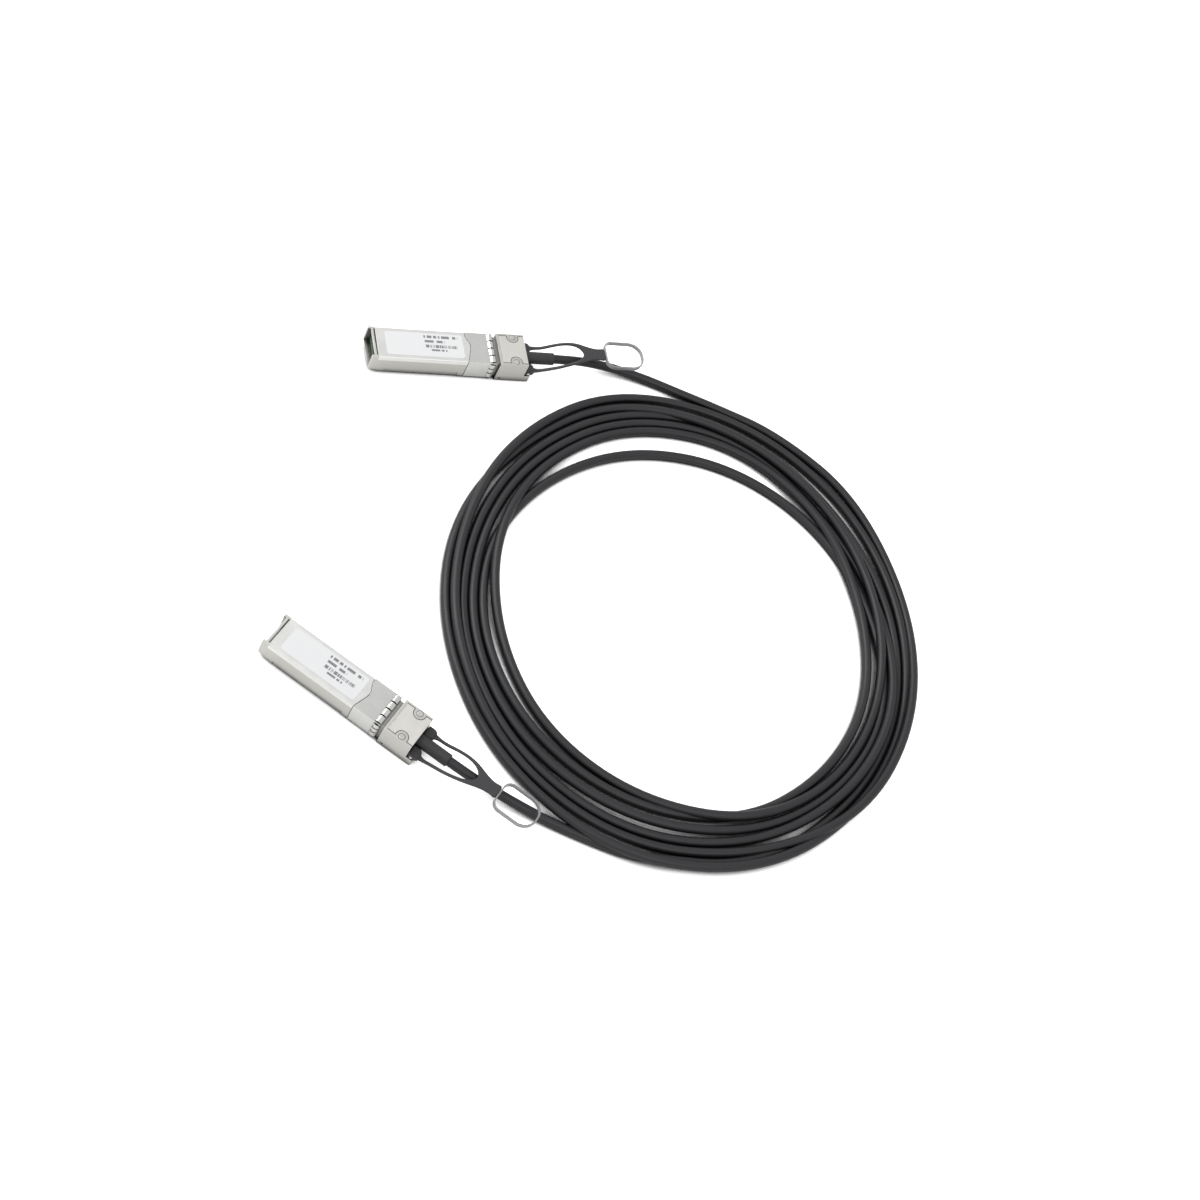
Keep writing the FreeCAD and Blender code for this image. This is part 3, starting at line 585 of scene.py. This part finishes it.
labelStock = {
    "light": (0.68, 0.685, 0.69), "dark": (0.64, 0.645, 0.65), "ink": (0.20, 0.20, 0.21), "rough": (0.42, 0.5),
    "cloud": 300.0, "fine": 3500.0, "share": 0.5,
    # rows of print in the plug's own millimetres: start and length along it, place across, height, pitch, fill
    "rows": [(20.8, 13.2, 3.7, 1.15, 0.62, 0.74), (21.0, 7.7, 1.6, 1.05, 0.58, 0.70),
             (21.2, 12.1, -0.6, 1.35, 0.22, 0.60), (21.0, 9.5, -2.3, 0.85, 0.55, 0.66)],
}


def makeLabelStock(letter):
    finish, tree, shader, where = newFinish("labelStock" + letter.upper())
    own = plugWhere(tree, where, letter)
    ink = None
    for start, length, place, height, pitch, fill in labelStock["rows"]:
        row = placeGroup(tree, rowGroup, {"Along": own["X"], "Across": own["Y"], "Start": start,
                                          "Length": length, "Place": place, "Height": height,
                                          "Pitch": pitch, "Fill": fill}).outputs["Ink"]
        ink = row if ink is None else mathNode(tree, "MAXIMUM", ink, row)
    paper, rough = cloudyTone(tree, placeGrain(tree, where, labelStock), labelStock)
    printed = mixTones(tree, ink, paper, labelStock["ink"])
    fillSockets(tree, shader, {"Base Color": printed, "Roughness": rough})
    return finish


clearStrip = {
    "light": (0.50, 0.50, 0.51), "dark": (0.40, 0.40, 0.41), "rough": (0.15, 0.3),
    "cloud": 400.0, "fine": 2500.0, "share": 0.4, "shader": {"Transmission Weight": 0.55, "IOR": 1.46},
}


def makeClearStrip():
    finish, tree, shader, where = newFinish("clearStrip")
    tone, rough = cloudyTone(tree, placeGrain(tree, where, clearStrip), clearStrip)
    fillSockets(tree, shader, {"Base Color": tone, "Roughness": rough})
    fillSockets(tree, shader, clearStrip["shader"])
    return finish


def dress(piece, finish):
    piece.data.materials.clear()
    piece.data.materials.append(finish)


def finishThePieces():
    casting, cover = surfaceFinish("platedCasting", platedCasting), surfaceFinish("foldedCover", foldedCover)
    spring, grip = surfaceFinish("springSheet", springSheet), surfaceFinish("tabPlastic", tabPlastic)
    shared = {
        "cover_rivets": casting, "latch": casting, "top_cover": cover, "pull_tab": grip,
        "emi_collar": spring, "latch_pin": spring, "release_slide": spring, "return_springs": spring,
        "tab_pins": spring,
        "pull_loop": makeClearStrip(),
        "circuit_card": surfaceFinish("cardMask", cardMask),
        "edge_contacts": surfaceFinish("goldPlate", goldPlate),
        "memory_chip": surfaceFinish("chipBody", chipBody),
        "wire_pairs": surfaceFinish("wireSleeve", wireSleeve),
        "cable_clamp": surfaceFinish("clampBody", clampBody),
        "strain_relief": surfaceFinish("sleeveRubber", sleeveRubber),
    }
    for letter in plugs:
        wanted = dict(shared, label=makeLabelStock(letter))
        wanted["lower_housing"] = surfaceFinish("housing" + letter.upper(), platedCasting, letter)
        wanted["rear_cover"] = surfaceFinish("rearPlate" + letter.upper(), rearPlate, letter)
        for name, finish in wanted.items():
            dress(bpy.data.objects[name + "_" + letter], finish)
    for piece in tabPieces:
        dress(piece, grip)
    dress(cablePiece, surfaceFinish("cableJacket", cableJacket))


finishThePieces()
print("finishes on")

studio = {
    "middle": (0.04, 0.1, 0.0),
    "tableSize": 3.0,
    "tableColour": (0.94, 0.94, 0.94),
    "tableBounce": (0.8, 0.8, 0.79),    # what it throws up at the plugs' side walls
    "tableGlow": 0.62,
    "tableShader": {"Roughness": 0.9, "Specular IOR Level": 0.1},
    # painted shade in gaps by the table: how far it reaches, where it is darkest and where it ends, and how
    # dark it is
    "paintedGapShade": (0.004, 0.35, 0.65),
    "paintedShadeColour": (0.01, 0.01, 0.01),
    "skyStrength": 0.72,
    # each lamp: place, how wide it is and its power
    "lamps": {"sideLamp": ((-0.75, 0.15, 0.75), 0.8, 7.5), "frontLamp": ((0.45, -0.35, 1.0), 0.9, 2.6)},
}


def makeTable():
    bpy.ops.object.select_all(action="DESELECT")
    bpy.ops.mesh.primitive_plane_add(size=studio["tableSize"], location=studio["middle"])
    table = bpy.context.object
    table.name = "table"
    table.data.transform(Matrix.Translation(table.location))
    table.location = (0, 0, 0)
    finish, tree, shader, _ = newFinish("paleTable")
    fillSockets(tree, shader, studio["tableShader"])
    reach, shut, clear = studio["paintedGapShade"]
    # painted shade: the table's colour and glow darken to near black where a gap beside the plugs and cable is
    # narrow
    shadeInGaps = placeGroup(tree, paintedShadeGroup, {"Distance": reach, "Power": 1.0}).outputs
    lit = addNode(tree, "ShaderNodeMapRange", {"Value": shadeInGaps["Open"], "From Min": shut, "From Max": clear})
    ray = addNode(tree, "ShaderNodeLightPath").outputs["Is Camera Ray"]
    seen = mixTones(tree, ray, studio["tableBounce"], studio["tableColour"])
    for socket, colour in (("Base Color", seen), ("Emission Color", (1, 1, 1))):
        shaded = mixTones(tree, lit.outputs["Result"], studio["paintedShadeColour"], colour)
        fillSockets(tree, shader, {socket: shaded})
    fillSockets(tree, shader, {"Emission Strength": mathNode(tree, "MULTIPLY", ray, studio["tableGlow"])})
    table.data.materials.append(finish)


def makeLight():
    world = bpy.data.worlds.new("sky")
    bpy.context.scene.world = world
    world.use_nodes = True
    sky = world.node_tree.nodes["Background"]
    fillSockets(world.node_tree, sky, {"Color": (1, 1, 1, 1), "Strength": studio["skyStrength"]})
    for name, (place, size, power) in studio["lamps"].items():
        data = bpy.data.lights.new(name, "AREA")
        data.size = size
        data.energy = power
        lamp = bpy.data.objects.new(name, data)
        bpy.context.scene.collection.objects.link(lamp)
        aim = (Vector(place) - Vector(studio["middle"])).to_track_quat("Z", "Y")
        lamp.matrix_world = Matrix.Translation(place) @ aim.to_matrix().to_4x4()
    bpy.context.scene.view_settings.view_transform = "Standard"


makeTable()
makeLight()
print("studio set")

bpy.context.view_layer.update()
